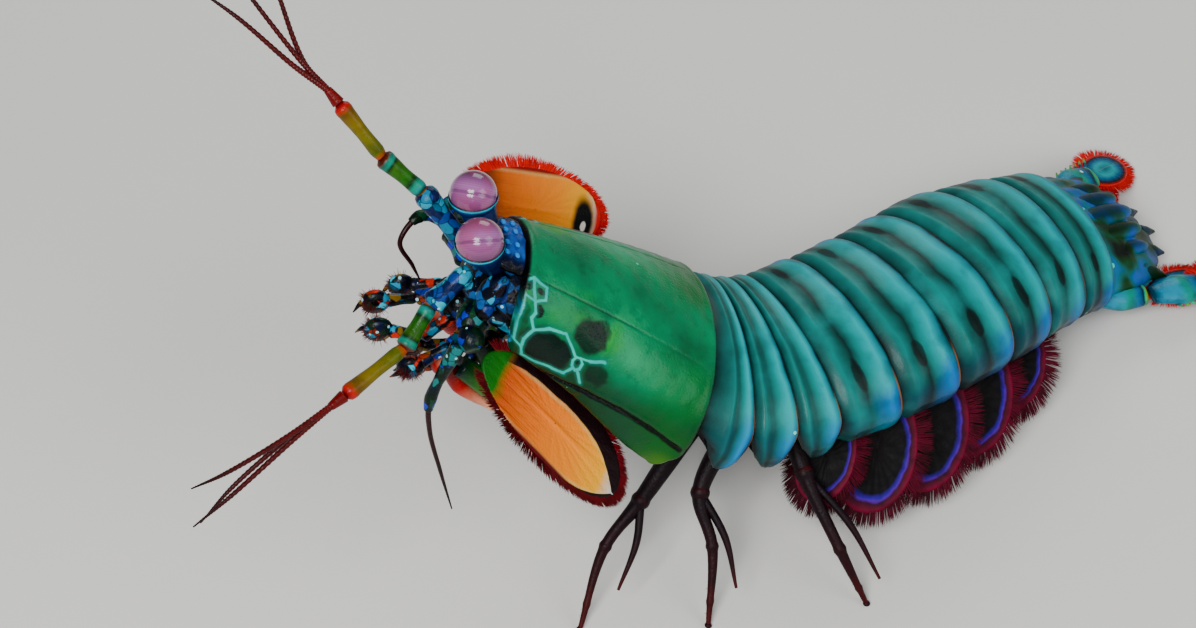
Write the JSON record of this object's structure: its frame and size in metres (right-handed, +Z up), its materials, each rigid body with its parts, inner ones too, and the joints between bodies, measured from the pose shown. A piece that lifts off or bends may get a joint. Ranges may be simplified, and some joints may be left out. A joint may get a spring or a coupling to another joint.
{
  "type": "mantis shrimp model",
  "caption": "Life-size mantis shrimp in a standing pose: green carapace, banded teal abdomen, stalked eyes, antennules, fringed orange scales, slim legs, fringed flaps and tail fan.",
  "frame": {"origin": "on the floor, under the middle of the bounding box", "axes": "+Z up; the head points to -X and the tail fan to +X; the animal's left side faces -Y"},
  "size_m": [0.1432, 0.0985, 0.0848],
  "materials": {
    "carapace": "glossy emerald green",
    "somites": "glossy teal with cyan bands",
    "rostral_plate": "glossy navy with blue dots",
    "flesh": "satin dark blue and maroon",
    "eyes": "glossy lavender with fine lines",
    "eyestalks": "glossy cyan and navy",
    "antennules": "glossy olive with red and cyan joints",
    "whips": "glossy dark red",
    "antennal_scales": "satin orange with a maroon fringe",
    "antennae": "glossy blue-green",
    "claws": "glossy green and red",
    "feeding_limbs": "glossy cyan, blue and orange",
    "legs": "satin dark maroon",
    "swimmerets": "satin dark purple with a crimson fringe",
    "telson": "glossy mottled green and blue",
    "tail_fan": "glossy cyan with a red fringe"
  },
  "bodies": {
    "root": {"thorax_6": "somites", "thorax_7": "somites", "thorax_8": "somites", "abdomen_1": "somites", "abdomen_2": "somites", "abdomen_3": "somites", "abdomen_4": "somites", "abdomen_5": "somites", "abdomen_6": "somites", "carapace": "carapace", "cephalothorax": "flesh", "rostral_plate": "rostral_plate", "eye_left": "eyes", "eyestalk_left": "eyestalks", "eye_right": "eyes", "eyestalk_right": "eyestalks", "antennule_left": "antennules", "antennule_whips_left": "whips", "antennule_right": "antennules", "antennule_whips_right": "whips", "antennal_scale_left": "antennal_scales", "antenna_left": "antennae", "antennal_scale_right": "antennal_scales", "antenna_right": "antennae", "claw_arm_left": "claws", "claw_hand_left": "claws", "claw_club_left": "claws", "claw_arm_right": "claws", "claw_hand_right": "claws", "claw_club_right": "claws", "maxilliped_3_left": "feeding_limbs", "maxilliped_3_right": "feeding_limbs", "maxilliped_4_left": "feeding_limbs", "maxilliped_4_right": "feeding_limbs", "maxilliped_5_left": "feeding_limbs", "maxilliped_5_right": "feeding_limbs", "leg_1_left": "legs", "leg_1_right": "legs", "leg_2_left": "legs", "leg_2_right": "legs", "leg_3_left": "legs", "leg_3_right": "legs", "swimmeret_1_left": "swimmerets", "swimmeret_1_right": "swimmerets", "swimmeret_2_left": "swimmerets", "swimmeret_2_right": "swimmerets", "swimmeret_3_left": "swimmerets", "swimmeret_3_right": "swimmerets", "swimmeret_4_left": "swimmerets", "swimmeret_4_right": "swimmerets", "swimmeret_5_left": "swimmerets", "swimmeret_5_right": "swimmerets", "telson": "telson", "uropod_base_left": "tail_fan", "uropod_outer_left": "tail_fan", "uropod_inner_left": "tail_fan", "uropod_base_right": "tail_fan", "uropod_outer_right": "tail_fan", "uropod_inner_right": "tail_fan"}
  },
  "joints": []
}
